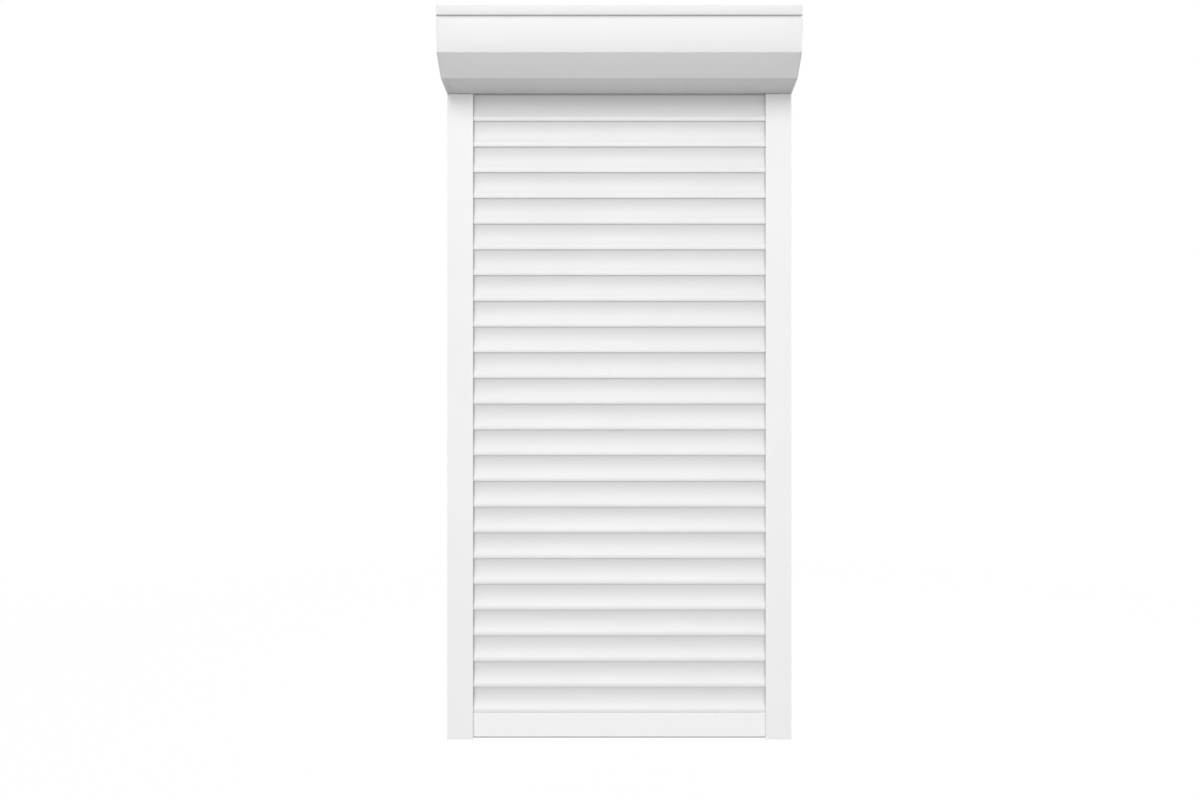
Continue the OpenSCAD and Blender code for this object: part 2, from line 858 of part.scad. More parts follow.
// A strap, drawn along the line of its middle: from the slot in the axle, round the axle's back and
// down to the top slat, where its end turns up under that slat's hook.
module strap(x) {
    a = axle_w / 2 + strap_gap + strap_t / 2;
    b = a * tan(22.5);
    axle_d = box_depth / 2;
    shoulder = slat_z(1) + slat_pitch - joint_gap;
    back_d = slat_d - hook_reach - strap_gap - strap_t / 2;
    tip_d = slat_d + (hook_u[0] - hook_reach + hook_tip) / 2;
    turn_z = shoulder + hook_low - strap_gap - strap_t / 2;
    line = [
        [axle_d, axle_z + motor_d / 2 + 2 * strap_gap], [axle_d, axle_z + a],
        [axle_d - b, axle_z + a], [axle_d - a, axle_z + b], [axle_d - a, axle_z - b],
        [back_d, shoulder + hook_top + 3], [back_d, turn_z],
        [tip_d, turn_z], [tip_d, shoulder + hook_mid - strap_gap]
    ];
    color("silver")
        along_x(x - strap_w / 2, x + strap_w / 2) strip(line, strap_t, -strap_t / 2);
}

module strap_left() {
    strap(-strap_x);
}

module strap_right() {
    strap(strap_x);
}

guide_left();
guide_right();
guide_brush_left();
guide_brush_right();
guide_inlet_left();
guide_inlet_right();
guide_foot_left();
guide_foot_right();
side_cap_left();
side_cap_right();
box_rear_sheet();
box_top_sheet();
box_front_panel();
panel_screws();
top_rivets();
bearing_outer_ring();
bearing_inner_ring();
bearing_balls();
axle_tube();
axle_end_plug();
axle_pin();
motor_bracket();
bracket_screws();
motor_head();
motor_tube();
motor_shaft();
drive_wheel();
crown_wheel();
strap_left();
strap_right();
end_slat();
end_slat_plugs();
end_seal();
slat_end_locks();
for (i = [1:slat_count]) slat(i);
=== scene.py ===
"""Exterior roller shutter, dressed and lit: white guides, box and slats in front of a white ground.

X runs to the right seen from outside, the front faces -Y, the wall stands at +Y and Z points up from the
sill. Sizes are in metres.
"""
import math

import bpy
import numpy as np
from mathutils import Matrix


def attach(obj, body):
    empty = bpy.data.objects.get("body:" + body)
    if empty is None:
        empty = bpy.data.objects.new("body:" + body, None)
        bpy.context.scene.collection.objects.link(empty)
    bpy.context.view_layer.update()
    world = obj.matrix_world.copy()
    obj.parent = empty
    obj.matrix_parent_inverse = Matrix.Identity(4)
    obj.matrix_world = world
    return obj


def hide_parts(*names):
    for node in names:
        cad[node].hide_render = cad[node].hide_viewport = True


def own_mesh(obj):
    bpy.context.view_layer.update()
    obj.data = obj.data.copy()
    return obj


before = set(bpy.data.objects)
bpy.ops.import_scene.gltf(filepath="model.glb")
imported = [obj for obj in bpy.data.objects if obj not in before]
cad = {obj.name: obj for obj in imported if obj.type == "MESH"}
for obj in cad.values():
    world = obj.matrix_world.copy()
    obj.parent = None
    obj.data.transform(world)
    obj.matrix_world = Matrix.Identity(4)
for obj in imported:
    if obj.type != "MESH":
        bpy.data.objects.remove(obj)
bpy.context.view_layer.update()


# Guides and their foot plugs.
# Each guide is one extruded aluminium profile, powder coated white, with the slats' channel towards the
# window and a closed chamber outside it. A plug closes the chamber at the sill.
class Link:
    """An output in a node tree. Sums and products with numbers or other links add Math nodes."""

    def __init__(self, tree, socket):
        self.tree = tree
        self.socket = socket

    def node(self, kind, settings, sockets, output=0):
        """Adds a node of a type, applies its settings, fills its sockets and returns one of its outputs."""
        made = self.tree.nodes.new("ShaderNode" + kind)
        for name, value in settings.items():
            setattr(made, name, value)
        for name, value in sockets.items():
            if isinstance(value, Link):
                self.tree.links.new(value.socket, made.inputs[name])
            else:
                made.inputs[name].default_value = value
        return Link(self.tree, made.outputs[output])

    def math(self, operation, a, b):
        return self.node("Math", {"operation": operation}, {0: a, 1: b})

    def __add__(self, other):
        return self.math("ADD", self, other)

    def __rsub__(self, other):
        return self.math("SUBTRACT", other, self)

    def __mul__(self, other):
        return self.math("MULTIPLY", self, other)

    __radd__ = __add__
    __rmul__ = __mul__

    def stretched(self, x, y, z):
        """This place with each axis multiplied, so that a pattern on it is drawn out along the smallest."""
        return self.node("Mapping", {}, {"Vector": self, "Scale": (x, y, z)})

    def noise(self, per_metre, detail=2.0):
        """Cloudy values between 0 and 1 at this place, with about so many clouds to a metre."""
        return self.node("TexNoise", {}, {"Vector": self, "Scale": per_metre, "Detail": detail})

    def between(self, first, second):
        """The colour that is first where this value is 0 and second where it is 1."""
        return self.node("Mix", {"data_type": "RGBA"}, {0: self, 6: first, 7: second}, output=2)

    def into(self, shader, name):
        self.tree.links.new(self.socket, shader.inputs[name])

    def raises(self, shader, strength, depth):
        """Lifts the look of a surface by up to a depth where this value is 1."""
        bump = self.node("Bump", {}, {"Strength": strength, "Distance": depth, "Height": self})
        bump.into(shader, "Normal")


def grey(level, warmth=0.0):
    return (level * (1 + warmth), level, level * (1 - warmth), 1.0)


def new_finish(name):
    """An empty material: itself, its shader, and a link that gives the place on the surface."""
    material = bpy.data.materials.new(name)
    material.use_nodes = True
    tree = material.node_tree
    place = tree.nodes.new("ShaderNodeTexCoord")
    return material, tree.nodes["Principled BSDF"], Link(tree, place.outputs["Object"])


peel_per_metre = 800.0
peel_depth = 0.0002


def baked_paint(at, level, roughness):
    """A tone that drifts by a percent or so over a hand's width, and a gloss that is a little duller where
    the tone is darker."""
    tone_change, gloss_change = 0.015, 0.06
    drift = at.noise(per_metre=7.0, detail=3.0)
    tone = drift.between(grey(level * (1 - tone_change)), grey(level * (1 + tone_change)))
    return tone, roughness + gloss_change - drift * (2 * gloss_change)


def powder_coat(name, level, roughness):
    """Baked paint with a faint orange peel of about a millimetre."""
    material, shader, at = new_finish(name)
    tone, dullness = baked_paint(at, level, roughness)
    tone.into(shader, "Base Color")
    dullness.into(shader, "Roughness")
    at.noise(peel_per_metre, detail=1.0).raises(shader, strength=0.25, depth=peel_depth)
    return material


def dress(names, material):
    """Gives CAD nodes a finish."""
    for name in names:
        mesh = cad[name].data
        mesh.materials.clear()
        mesh.materials.append(material)


def eased(piece, width, sharper_than):
    """Rounds the edges of a piece that are sharper than an angle in degrees, in two steps."""
    edge = piece.modifiers.new("eased_edges", "BEVEL")
    edge.width = width
    edge.segments = 2
    edge.limit_method = "ANGLE"
    edge.angle_limit = math.radians(sharper_than)
    edge.harden_normals = True


def ease_nodes(names, width):
    """Rounds a CAD node's edges: joins its triangles and merges flat ones into whole faces first."""
    for name in names:
        weld = cad[name].modifiers.new("join", "WELD")
        weld.merge_threshold = 1e-5
        merge = cad[name].modifiers.new("flat_faces", "DECIMATE")
        merge.decimate_type = "DISSOLVE"
        merge.angle_limit = math.radians(1)
        eased(cad[name], width, sharper_than=40)


guide_white = powder_coat("guide_powder_coat", level=0.86, roughness=0.5)
guide_names = ["guide_left", "guide_right", "guide_foot_left", "guide_foot_right"]
dress(guide_names, guide_white)
ease_nodes(guide_names, width=0.0004)


# Brush strips.
# A polypropylene pile woven into a flat backing, pushed into the ribs on both walls of the channel. The
# fibres stand in tufts and end just short of the slats.
brush_x = 0.3454
brush_low, brush_high = 0.002, 1.455
back_wall_y, front_wall_y = 0.0805, 0.0575
backing_half, backing_t = 0.0023, 0.0009
pile_half, pile_reach = 0.0011, 0.0047
tuft_pitch, rows_per_tuft = 0.002, 3
tuft_length, tuft_swell = 0.1, 0.2


def brush_strips(name, x):
    """Both strips of a guide. Point (k, i, j) of the grid is corner j of strip k's section at height i. The
    backing's corners stay, while the pile's swell and reach out with the tufts: one cosine wave for each,
    with its height left a little to chance."""
    rows = int((brush_high - brush_low) / tuft_pitch) * rows_per_tuft
    z = np.linspace(brush_low, brush_high, rows)
    root = np.array([back_wall_y, front_wall_y])
    reach = np.array([-pile_reach, pile_reach])
    wave = 0.5 + 0.5 * np.cos(2 * np.pi * (z - brush_low) / tuft_pitch)
    chance = np.random.default_rng(7).uniform(0.4, 1.0, (2, rows))
    length = 1 - tuft_length + tuft_length * wave * chance
    half = pile_half * (1 - tuft_swell + tuft_swell * wave)
    flat = np.array([-1, 1, 1, 0, 0, 0, 0, 0, 0, -1]) * backing_half
    fibre = np.array([0, 0, 0, 1, 0.95, 0.6, -0.6, -0.95, -1, 0])
    share = np.array([0, 0, 0, 0, 0.7, 1, 1, 0.7, 0, 0])
    foot = np.array([0, 0, 1, 1, 0, 0, 0, 0, 1, 1]) * backing_t
    corners = len(flat)
    points = np.empty((2, rows, corners, 3))
    points[..., 0] = x + flat + half[:, None] * fibre
    points[..., 1] = (root[:, None, None] + np.sign(reach)[:, None, None] * foot
                      + reach[:, None, None] * length[..., None] * share)
    points[..., 2] = z[:, None]
    corner = np.arange(corners)
    low = np.arange(rows - 1)[:, None] * corners + corner
    turn = np.arange(rows - 1)[:, None] * corners + (corner + 1) % corners
    back = np.stack([low, low + corners, turn + corners, turn], axis=2).reshape(-1, 4)
    front = back[:, ::-1] + rows * corners
    ends = np.stack([corner, corner[::-1] + (rows - 1) * corners])
    ends = np.vstack([ends, ends[:, ::-1] + rows * corners])
    mesh = bpy.data.meshes.new(name)
    mesh.from_pydata(points.reshape(-1, 3).tolist(), [], back.tolist() + front.tolist() + ends.tolist())
    return mesh


def pile_finish():
    """Grey fibres: dark and light strands across the pile, about a third of a millimetre wide."""
    material, shader, at = new_finish("brush_pile")
    strand = at.stretched(3000.0, 120.0, 3000.0).noise(per_metre=1.0)
    strand.between(grey(0.05), grey(0.2)).into(shader, "Base Color")
    shader.inputs["Roughness"].default_value = 0.85
    shader.inputs["Sheen Weight"].default_value = 0.2
    strand.raises(shader, strength=0.5, depth=0.0003)
    return material


def show(mesh, material, body, slot, *replaced):
    """Puts a mesh in the scene with its finish, on the body that carries it, for the nodes it stands for."""
    piece = bpy.data.objects.new(mesh.name, mesh)
    bpy.context.scene.collection.objects.link(piece)
    mesh.materials.append(material)
    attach(piece, body)
    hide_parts(*replaced)
    return piece


pile = pile_finish()
show(brush_strips("pile_left", -brush_x), pile, "frame", "brush", "guide_brush_left")
show(brush_strips("pile_right", brush_x), pile, "frame", "brush", "guide_brush_right")


# Inlet funnels.
# Moulded grey polyamide pieces in the top of each channel, pressed in from above. They lead the slats in
# as these come down from the axle.
def moulded_plastic(name, level):
    """Matt moulded plastic with the fine grain that a spark-eroded mould leaves."""
    tone_change = 0.1
    material, shader, at = new_finish(name)
    grain = at.noise(per_metre=1500.0)
    drift = at.noise(per_metre=30.0)
    tone = drift.between(grey(level * (1 - tone_change)), grey(level * (1 + tone_change)))
    tone.into(shader, "Base Color")
    (0.5 + 0.15 * grain).into(shader, "Roughness")
    grain.raises(shader, strength=0.2, depth=0.0001)
    return material


grey_plastic = moulded_plastic("grey_polyamide", level=0.25)
dress(["guide_inlet_left", "guide_inlet_right"], grey_plastic)


# Box.
# Rear sheet, top sheet with the front strip, and the removable front panel are folded from white coated
# aluminium. Die-cast side caps, coated like them, stand on the guides and hold the sheets in their rims.
wall_y = 0.0825
box_z = 1.5
sheet_t, sheet_half_l = 0.0012, 0.3969
fold_r = 0.0018
box_h, rear_lap_h = 0.150, 0.139
strip_top_d, strip_foot_d, strip_fold_d, strip_foot_h = 0.1647, 0.1627, 0.1602, 0.129
groove_d, hem_h = 0.158, 0.136
panel_top_d, panel_top_h = 0.1646, 0.121
chamfer_top_d, chamfer_top_h = 0.156, 0.050
chamfer_foot_d, chamfer_foot_h = 0.105, 0.010
lip_d, lip_h = 0.028, 0.007
strip_crown, panel_crown, chamfer_crown, underside_crown = 0.0003, 0.0011, 0.001, 0.001
held_l = 0.05
held_shares = np.array([0.0, 0.1, 0.2, 0.35, 0.5, 0.65, 0.8, 0.9, 1.0])
held_places = sheet_half_l - held_l * held_shares
sheet_places = np.concatenate([-held_places, held_places[::-1]])
# Painted shade on the box sheets, first and last amount on each flat: darker in the groove and under the
# lip, towards the lower edges of the strip and panel, and on the underside towards the wall.
unshaded, groove_shade, lip_shade = (0.0, 0.0), (0.4, 0.4), (0.9, 0.9)
strip_shade, panel_shade, underside_shade = (0.1, 0.4), (0.0, 0.28), (0.3, 0.9)


def fold_line(corners, crowns, painted_shade):
    """Outer line of a folded sheet, and the painted shade on it: every corner becomes an arc of the fold
    radius, touching both flats, and a flat with a crown bulges by a parabola, four times its share times the
    rest of it. Painted shade goes from a flat's first amount to its last with the square of the way along
    it."""
    arc_points, flat_points = 9, 15
    before, at, after = corners[:-2], corners[1:-1], corners[2:]
    u = (before - at) / np.linalg.norm(before - at, axis=1)[:, None]
    v = (after - at) / np.linalg.norm(after - at, axis=1)[:, None]
    half = np.arccos(np.sum(u * v, axis=1))[:, None] / 2
    centre = at + (u + v) / np.linalg.norm(u + v, axis=1)[:, None] * fold_r / np.sin(half)
    first = at + u * fold_r / np.tan(half) - centre
    last = at + v * fold_r / np.tan(half) - centre
    t = np.linspace(0, 1, arc_points)[:, None]
    rays = first[:, None] * (1 - t) + last[:, None] * t
    arcs = centre[:, None] + rays / np.linalg.norm(rays, axis=2)[..., None] * fold_r
    start = np.vstack([corners[:1], arcs[:, -1]])
    way = np.vstack([arcs[:, 0], corners[-1:]]) - start
    out = np.stack([-way[:, 1], way[:, 0]], axis=1) / np.linalg.norm(way, axis=1)[:, None]
    share = np.linspace(0, 1, flat_points)[1:-1, None]
    bulge = crowns[:, None, None] * 4 * share * (1 - share)
    flats = start[:, None] + way[:, None] * share + out[:, None] * bulge
    folded = [part for pair in zip(flats[:-1], arcs) for part in pair]
    shade_along_flats = painted_shade[:, :1] * (1 - share.T ** 2) + painted_shade[:, 1:] * share.T ** 2
    shade_round_arcs = painted_shade[:-1, 1:] * (1 - t.T) + painted_shade[1:, :1] * t.T
    shade_amounts = [part for pair in zip(shade_along_flats[:-1], shade_round_arcs) for part in pair]
    return (np.vstack([corners[:1], *folded, flats[-1], corners[-1:]]),
            np.concatenate([painted_shade[0, :1], *shade_amounts, shade_along_flats[-1], painted_shade[-1, 1:]]))


def band(line, near, far):
    """Outline of a band along a line: each point is moved to the line's right by near, and back along it by
    far, on the mitre between its two neighbours' directions."""
    step = np.diff(line, axis=0)
    step /= np.linalg.norm(step, axis=1)[:, None]
    side = np.stack([step[:, 1], -step[:, 0]], axis=1)
    before = np.vstack([side[:1], side])
    mitre = before + np.vstack([side, side[-1:]])
    mitre /= np.sum(mitre * before, axis=1)[:, None]
    return np.vstack([line + mitre * near, (line + mitre * far)[::-1]])


def carried_along_x(name, outlines, places, painted_shade=0.0):
    """Closed outlines in (y, z), one at each place along x, joined by a skin, with the amount of painted
    shade at each of their points. Point (j, i) of the grid is point i of outline j, and one face closes each
    end. Twice an outline's area, the sum of its cross products, tells which way it turns."""
    outlines = np.array(outlines)
    count = outlines.shape[1]
    painted_shade = np.broadcast_to(painted_shade, count)
    ahead = np.roll(outlines[0], -1, axis=0)
    if np.sum(outlines[0, :, 0] * ahead[:, 1] - ahead[:, 0] * outlines[0, :, 1]) < 0:
        outlines, painted_shade = outlines[:, ::-1], painted_shade[::-1]
    points = np.empty((len(places), count, 3))
    points[..., 0] = np.array(places)[:, None]
    points[..., 1:] = outlines
    i = np.arange(count)
    k = (i + 1) % count
    row = np.arange(len(places) - 1)[:, None] * count
    sides = np.stack([row + i, row + k, row + k + count, row + i + count], axis=2).reshape(-1, 4)
    ends = np.stack([i[::-1], i + (len(places) - 1) * count])
    mesh = bpy.data.meshes.new(name)
    mesh.from_pydata(points.reshape(-1, 3).tolist(), [], sides.tolist() + ends.tolist())
    mesh.shade_smooth()
    mesh.set_sharp_from_angle(angle=math.radians(30))
    mesh.attributes.new("painted_shade", "FLOAT", "POINT").data.foreach_set("value", np.tile(painted_shade, len(places)))
    return mesh


def crowned_between_caps(flat, crowned):
    """Outlines of a sheet at its places: flat where the caps hold it and crowned further in, by the smooth
    step, three times the share squared less twice its cube."""
    rise = held_shares ** 2 * (3 - 2 * held_shares)
    rise = np.concatenate([rise, rise[::-1]])[:, None, None]
    return flat + (crowned - flat) * rise


def painted_shade_coat(name, level, painted_shade_level, roughness):
    """Baked paint with painted shade, darker towards lower edges and on the underside: by the piece's own
    amount of it, broken up by a noise that is drawn out downwards."""
    painted_shade_dulls = 0.2
    material, shader, at = new_finish(name)
    tone, dullness = baked_paint(at, level, roughness)
    shade_breakup = at.stretched(45.0, 5.0, 5.0).noise(per_metre=1.0, detail=4.0)
    painted_shade = at.node("Attribute", {"attribute_name": "painted_shade"}, {}, output="Fac") * (0.8 + 0.4 * shade_breakup)
    painted_shade.between(tone, grey(painted_shade_level, warmth=0.004)).into(shader, "Base Color")
    (dullness + painted_shade_dulls * painted_shade).into(shader, "Roughness")
    at.noise(peel_per_metre, detail=1.0).raises(shader, strength=0.25, depth=peel_depth)
    return material


# The sheets' coat darkens them with painted shade, by the amount that each point of a sheet carries.
sheet_white = painted_shade_coat("box_coil_coat", level=0.87, painted_shade_level=0.62, roughness=0.45)
cap_white = powder_coat("cap_powder_coat", level=0.85, roughness=0.45)
cap_names = ["side_cap_left", "side_cap_right"]
dress(cap_names, cap_white)
dress(["box_rear_sheet"], sheet_white)
ease_nodes(cap_names, width=0.0005)
for node, corners, crowns, painted_shade in (
    ("box_top_sheet",
     [(0, rear_lap_h), (0, box_h), (strip_top_d, box_h), (strip_foot_d, strip_foot_h),
      (strip_fold_d, strip_foot_h)],
     [0, 0, strip_crown, 0],
     [unshaded, unshaded, strip_shade, groove_shade]),
    ("box_front_panel",
     [(groove_d, hem_h), (groove_d, panel_top_h), (panel_top_d, panel_top_h),
      (chamfer_top_d, chamfer_top_h), (chamfer_foot_d, chamfer_foot_h), (lip_d, 0), (lip_d, lip_h)],
     [0, 0, panel_crown, chamfer_crown, underside_crown, 0],
     [groove_shade, groove_shade, panel_shade, unshaded, underside_shade, lip_shade]),
):
    line, shade_amounts = fold_line(np.array(corners), np.array(crowns), np.array(painted_shade))
    flat_line, _ = fold_line(np.array(corners), np.zeros(len(crowns)), np.array(painted_shade))
    outlines = crowned_between_caps(band(flat_line, 0.0, sheet_t), band(line, 0.0, sheet_t))
    placed = np.stack([wall_y - outlines[..., 0], box_z + outlines[..., 1]], axis=2)
    shade_amounts = np.concatenate([shade_amounts, shade_amounts[::-1]])
    folded = show(carried_along_x("folded_" + node, placed, sheet_places, shade_amounts),
                  sheet_white, "frame", "white_paint", node)
    eased(folded, width=0.0002, sharper_than=30)


# Panel screws and rivets.
# Small zinc-plated steel screws hold the panel's underside to the caps' rims, and blind rivets the top
# sheet. The four screws of the motor's bracket are plated like them.
def plated_steel(name, level, roughness, tint=0.0):
    """Bright metal with fine scratches: a stretched noise that changes the gloss and the tone a little."""
    gloss_change = 0.08
    material, shader, at = new_finish(name)
    scratch = at.stretched(60.0, 900.0, 900.0).noise(per_metre=1.0, detail=3.0)
    scratch.between(grey(level * 0.85, tint), grey(level * 1.1, tint)).into(shader, "Base Color")
    (roughness - gloss_change + 2 * gloss_change * scratch).into(shader, "Roughness")
    shader.inputs["Metallic"].default_value = 1.0
    return material


zinc = plated_steel("zinc_plating", level=0.62, roughness=0.35, tint=0.02)
dress(["panel_screws", "top_rivets", "bracket_screws"], zinc)


# Axle, motor and bearing, inside the box.
# The octagonal axle tube is roll-formed from galvanised strip. A tubular motor drives it on the right, and
# a pin in a ball bearing carries it on the left.
def galvanised(name):
    """Hot-dip zinc: spangles of about a centimetre, each with its own grey and gloss."""
    material, shader, at = new_finish(name)
    spangle = at.node("TexVoronoi", {}, {"Vector": at, "Scale": 110.0}, output="Color")
    tone = at.node("RGBToBW", {}, {"Color": spangle})
    tone.between(grey(0.4), grey(0.62)).into(shader, "Base Color")
    (0.32 + 0.2 * tone).into(shader, "Roughness")
    shader.inputs["Metallic"].default_value = 1.0
    return material


bright_steel = plated_steel("ground_steel", level=0.6, roughness=0.22)
dress(["axle_tube", "motor_bracket"], galvanised("galvanised_strip"))
dress(["bearing_outer_ring", "bearing_inner_ring", "bearing_balls", "axle_pin", "motor_shaft"], bright_steel)
dress(["motor_tube"], plated_steel("motor_case", level=0.35, roughness=0.4))
dress(["axle_end_plug", "drive_wheel", "crown_wheel", "motor_head"], grey_plastic)


# Suspension straps.
# Two strips of blue-tempered spring steel. Each hangs from a slot in the axle, passes behind it and turns
# up under the hook of the top slat.
end_slat_h = 0.060


def wound_up(piece):
    """Gives a piece that winds up in the box, as the curtain rises, a mesh of its own."""
    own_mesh(piece)


strap_x, strap_half_w, strap_t = 0.204, 0.015, 0.0008
axle_z = 1.575
wrap_r, slot_reach = 0.0207, 0.0026
wrap_corner = wrap_r * math.tan(math.pi / 8)
hang_y, hang_z, hook_z = 0.0701, 1.5099, 1.5034
tip_y, tip_reach = 0.0676, 0.002
strap_line = np.array([
    [0.0, axle_z + wrap_r - slot_reach], [0.0, axle_z + wrap_r], [wrap_corner, axle_z + wrap_r],
    [wrap_r, axle_z + wrap_corner], [wrap_r, axle_z - wrap_corner],
    [hang_y, hang_z], [hang_y, hook_z], [tip_y, hook_z], [tip_y, hook_z + tip_reach],
])

spring_steel = plated_steel("blued_spring_steel", level=0.22, roughness=0.3, tint=-0.12)
strap_outline = band(strap_line, -strap_t / 2, strap_t / 2)
for strap_name, x in (("strap_left", -strap_x), ("strap_right", strap_x)):
    strap_mesh = carried_along_x("hung_" + strap_name, [strap_outline, strap_outline],
                                 [x - strap_half_w, x + strap_half_w])
    strap = show(strap_mesh, spring_steel, "curtain", "spring_steel", strap_name)
    wound_up(strap)


# Slats.
# Hollow extruded aluminium profiles, lacquered off-white, with a hollow front face and a rounded nose. Each
# hangs by the cavity in its lower edge on the hook of the slat below, and slides in the guides at its ends.
slat_pitch, slat_count, slat_half_l = 0.060, 24, 0.364
hook_y = 0.067
shoulder, nose_h, cave_h = 0.0597, 0.012, 0.009
skin = 0.0012
face_r, nose_r, back_r, back_bulge = 0.075, 0.020, 0.10225, 0.0085
face_top, face_foot = np.array([0.0015, slat_pitch]), np.array([0.0032, nose_h])
face_chord = (face_foot - face_top) / np.linalg.norm(face_foot - face_top)
face_c = (face_top + face_foot) / 2 - np.array([face_chord[1], -face_chord[0]]) * math.sqrt(
    face_r ** 2 - np.sum((face_foot - face_top) ** 2) / 4)
nose_c = face_foot - (face_c - face_foot) / face_r * nose_r
back_c = np.array([back_r - back_bulge, slat_pitch / 2])
catch_back, catch_front = -0.0012, -0.0002
catch_low, catch_mid, catch_high = 0.0006, 0.0018, 0.0032
stem_back, stem_front = 0.0003, 0.0015
tip_back, tip_front = -0.0024, -0.0015
tip_low, bend_in, bend_out = shoulder + 0.0044, shoulder + 0.006, shoulder + 0.0072


def on_arc(centre, radius, heights, side):
    """Points of a circle at given heights, on its left or right: centre plus or minus the root of radius
    squared less height squared."""
    return np.stack([centre[0] + side * np.sqrt(radius ** 2 - (heights - centre[1]) ** 2), heights], axis=1)


def slat_outline():
    """Outline of a slat as (in front of the hook line, above its lower edge): down the hollow face and the
    nose, round the cavity with its catch, up the bulging back and round the hook."""
    back_in = back_r - skin
    catch = [(catch_back, catch_mid), (catch_back, catch_high), (catch_front, catch_high),
             (catch_front, catch_low)]
    hook = [(stem_back, shoulder), (stem_back, bend_in), (tip_front, bend_in), (tip_front, tip_low),
            (tip_back, tip_low), (tip_back, bend_out), (stem_front, bend_out), (stem_front, shoulder)]
    return np.vstack([
        on_arc(face_c, face_r, np.linspace(shoulder, nose_h, 33), -1),
        on_arc(nose_c, nose_r, np.linspace(nose_h, 0.0, 17)[1:], 1),
        on_arc(nose_c, nose_r - skin, np.linspace(0.0, cave_h, 9), 1),
        on_arc(back_c, back_in, np.linspace(cave_h, catch_mid, 7), -1),
        np.array(catch),
        on_arc(back_c, back_in, np.linspace(catch_low, 0.0, 2), -1),
        on_arc(back_c, back_r, np.linspace(0.0, shoulder, 33), -1),
        np.array(hook),
    ])


def slat_lacquer(name, level, painted_shade_level, roughness):
    """Baked paint with painted shade under the nose of the slat above: its share grows with the square of
    the height within the slat, and a noise stretched along the slat breaks it up."""
    painted_shade_dulls = 0.2
    material, shader, at = new_finish(name)
    tone, dullness = baked_paint(at, level, roughness)
    height = at.node("SeparateXYZ", {}, {"Vector": at}, output="Z")
    share = at.math("FRACT", height * (1 / slat_pitch), 0.0)
    patch = at.stretched(4.0, 40.0, 40.0).noise(per_metre=1.0, detail=4.0)
    painted_shade = share * share * (0.7 + 0.6 * patch)
    painted_shade.between(tone, grey(painted_shade_level, warmth=0.004)).into(shader, "Base Color")
    (dullness + painted_shade_dulls * painted_shade).into(shader, "Roughness")
    at.noise(peel_per_metre, detail=1.0).raises(shader, strength=0.2, depth=peel_depth)
    return material


# The slats' lacquer darkens the top of every slat with painted shade, where the nose of the slat above
# overhangs it.
slat_white = slat_lacquer("slat_lacquer", level=0.80, painted_shade_level=0.70, roughness=0.42)
outline = slat_outline()
for number in range(1, slat_count + 1):
    lower_edge = end_slat_h + (slat_count - number) * slat_pitch
    placed = np.stack([hook_y - outline[:, 0], lower_edge + outline[:, 1]], axis=1)
    node = f"slat_{number:02d}"
    slat = show(carried_along_x("curtain_" + node, [placed, placed], [-slat_half_l, slat_half_l]),
                slat_white, "curtain", "white_paint", node)
    eased(slat, width=0.0002, sharper_than=30)
    wound_up(slat)


# End locks.
# Flat plates of grey polyamide, pressed into both ends of every slat. They stand out a little and keep the
# slats in line.
lock_t = 0.003
lock_back, lock_front = -0.00625, -0.00164
lock_low, lock_high = 0.014, 0.046
lock_cut = 0.001


def lock_plates(name):
    """Octagons in every slat's end: the corners of one plate, repeated at both ends and at every slat. Point
    (e, s, f, j) of the grid is corner j of face f of the plate at end e of slat s."""
    u0, u1, w0, w1, c = lock_back, lock_front, lock_low, lock_high, lock_cut
    corners = np.array([[u0 + c, w0], [u1 - c, w0], [u1, w0 + c], [u1, w1 - c],
                        [u1 - c, w1], [u0 + c, w1], [u0, w1 - c], [u0, w0 + c]])
    count = len(corners)
    starts = np.array([-slat_half_l - lock_t, slat_half_l])
    heights = end_slat_h + np.arange(slat_count) * slat_pitch
    points = np.empty((2, slat_count, 2, count, 3))
    points[..., 0] = (starts[:, None] + np.array([0, lock_t]))[:, None, :, None]
    points[..., 1] = hook_y - corners[::-1, 0]
    points[..., 2] = heights[None, :, None, None] + corners[::-1, 1]
    i = np.arange(count)
    k = (i + 1) % count
    first = np.arange(2 * slat_count)[:, None, None] * (2 * count)
    sides = (first + np.stack([i, k, k + count, i + count], axis=1)).reshape(-1, 4).tolist()
    caps = (first + np.stack([i[::-1], i + count])).reshape(-1, count).tolist()
    mesh = bpy.data.meshes.new(name)
    mesh.from_pydata(points.reshape(-1, 3).tolist(), [], sides + caps)
    return mesh


locks = show(lock_plates("curtain_end_locks"), grey_plastic, "curtain", "grey_plastic", "slat_end_locks")
eased(locks, width=0.0003, sharper_than=30)
wound_up(locks)


# End slat, with its end plugs and seal.
# A stiffer hollow aluminium bar, powder coated white, closes the curtain. A rubber lip in the slot under it
# seals on the sill, and grey plugs close its ends.
def rubber(name):
    """Grey extruded rubber with a dull bloom in patches."""
    material, shader, at = new_finish(name)
    bloom = at.noise(per_metre=90.0, detail=4.0)
    bloom.between(grey(0.28), grey(0.36)).into(shader, "Base Color")
    (0.55 + 0.3 * bloom).into(shader, "Roughness")
    return material


dress(["end_slat"], powder_coat("end_slat_powder_coat", level=0.90, roughness=0.42))
ease_nodes(["end_slat"], width=0.0005)
dress(["end_slat_plugs"], grey_plastic)
dress(["end_seal"], rubber("seal_rubber"))


# Floor of the studio.
# A plain matt floor, a window sill's height below the shutter. It shows as white, whiter further off, and
# keeps the shadow. It throws only a little light back up.
floor_z, floor_half = -0.9, 9
floor_thrown, floor_seen = 0.36, 0.95
white_share = 0.96


def seen_directly(tree):
    """1 for rays from the camera, from gloss and through glass, and 0 for those that light a surface."""
    paths = tree.nodes.new("ShaderNodeLightPath")
    return (Link(tree, paths.outputs["Is Camera Ray"]) + Link(tree, paths.outputs["Is Glossy Ray"])
            + Link(tree, paths.outputs["Is Transmission Ray"]))


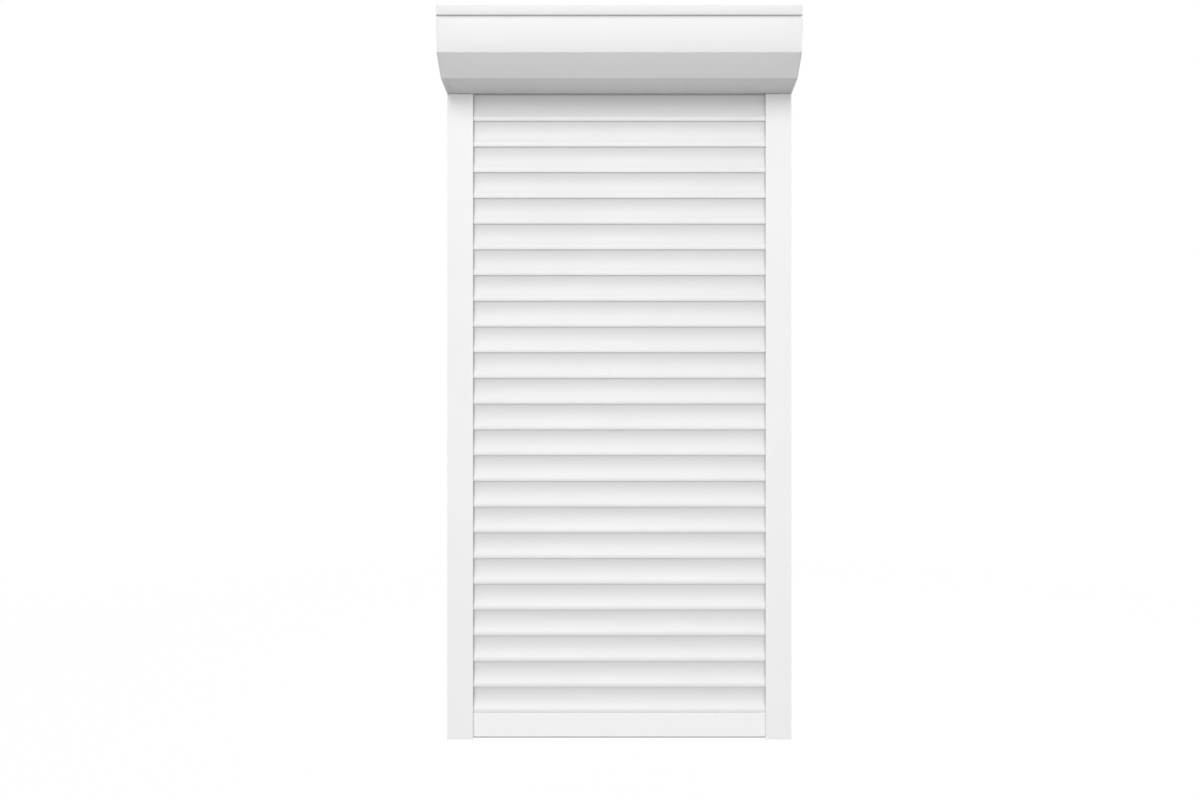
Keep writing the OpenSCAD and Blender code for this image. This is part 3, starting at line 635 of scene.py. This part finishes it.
floor_mesh = bpy.data.meshes.new("studio_floor")
floor_mesh.from_pydata([(-floor_half, -floor_half, floor_z), (floor_half, -floor_half, floor_z),
                        (floor_half, floor_half, floor_z), (-floor_half, floor_half, floor_z)], [],
                       [(0, 1, 2, 3)])
floor = bpy.data.objects.new("studio_floor", floor_mesh)
bpy.context.scene.collection.objects.link(floor)
floor_paint, floor_shader, on_floor = new_finish("pale_floor")
floor_shader.inputs["Roughness"].default_value = 0.9
floor_shader.inputs["Specular IOR Level"].default_value = 0.0
floor_tree = floor_paint.node_tree
seen = seen_directly(floor_tree)
seen.between(grey(floor_thrown), grey(floor_seen)).into(floor_shader, "Base Color")
glow = seen.node("Emission", {}, {"Color": grey(1), "Strength": 1.0})
matt = Link(floor_tree, floor_shader.outputs[0])
away = on_floor.node("VectorMath", {"operation": "LENGTH"}, {0: on_floor}, output="Value")
whiter = away.math("MINIMUM", away * (1 / floor_half), 1.0)
glow_share = seen * (white_share + (1 - white_share) * whiter)
mixed = seen.node("MixShader", {}, {0: glow_share, 1: matt, 2: glow})
mixed.into(floor_tree.nodes["Material Output"], "Surface")
floor_mesh.materials.append(floor_paint)


# White ground.
# The world is white where it is seen, and lights the shutter evenly from all round at a third of that.
fill = 0.34
world = bpy.data.worlds.new("white_ground")
bpy.context.scene.world = world
world.use_nodes = True
background = world.node_tree.nodes["Background"]
background.inputs["Color"].default_value = grey(1)
(fill + (1 - fill) * seen_directly(world.node_tree)).into(background, "Strength")


# Soft boxes.
# A wide one high in front gives the slats their shading and the box its soft shadow, and one straight in
# front lifts the faces that look down. One behind and a weak one at each end light the back and the ends.
light_aim = np.array([0.0, 0.05, 0.9])


def aimed(holder, place, aim):
    """Puts a lamp or camera at a place, looking at an aim: its -Z axis runs along the line between them."""
    back = (place - aim) / np.linalg.norm(place - aim)
    right = np.cross([0, 0, 1], back)
    right /= np.linalg.norm(right)
    turn = np.eye(4)
    turn[:3, :3] = np.stack([right, np.cross(back, right), back], axis=1)
    turn[:3, 3] = place
    holder.matrix_world = Matrix(turn.tolist())


def soft_light(name, offset, size, level):
    """A square soft box whose light on a surface square to it, at the aim, has a level: 1 shows a colour as
    it is written. Power is level times pi squared times the distance squared."""
    lamp = bpy.data.lights.new(name, "AREA")
    lamp.size = size
    lamp.energy = level * math.pi ** 2 * float(np.sum(offset ** 2))
    holder = bpy.data.objects.new(name, lamp)
    holder.visible_camera = False
    bpy.context.scene.collection.objects.link(holder)
    aimed(holder, light_aim + offset, light_aim)


soft_light("high_soft_box", offset=25 * np.array([-0.08, -0.862, 0.5]), size=13.4, level=0.50)
soft_light("front_soft_box", offset=np.array([0.0, -6.0, 0.0]), size=3.0, level=0.26)
soft_light("back_soft_box", offset=np.array([1.5, 6.0, 2.5]), size=3.0, level=0.60)
soft_light("left_soft_box", offset=np.array([-6.0, 1.0, 0.5]), size=1.5, level=0.12)
soft_light("right_soft_box", offset=np.array([6.0, 1.0, 0.5]), size=1.5, level=0.12)


# Camera.
# It stands level in front of the guides' faces, at about half the shutter's height, so that uprights stay
# upright. A small shift to the side places the shutter in the frame.
frame_w_px, shift_px = 1200, -19.3
camera_z, camera_distance, guide_face_y = 0.789, 2.2, 0.0555
camera = bpy.data.cameras.new("front_view")
camera.sensor_width = 36
camera.lens = 28.4
camera.shift_x = shift_px / frame_w_px
camera_holder = bpy.data.objects.new("front_view", camera)
bpy.context.scene.collection.objects.link(camera_holder)
aimed(camera_holder, np.array([0.0, guide_face_y - camera_distance, camera_z]),
      np.array([0.0, guide_face_y, camera_z]))
bpy.context.scene.camera = camera_holder
bpy.context.scene.view_settings.view_transform = "Standard"
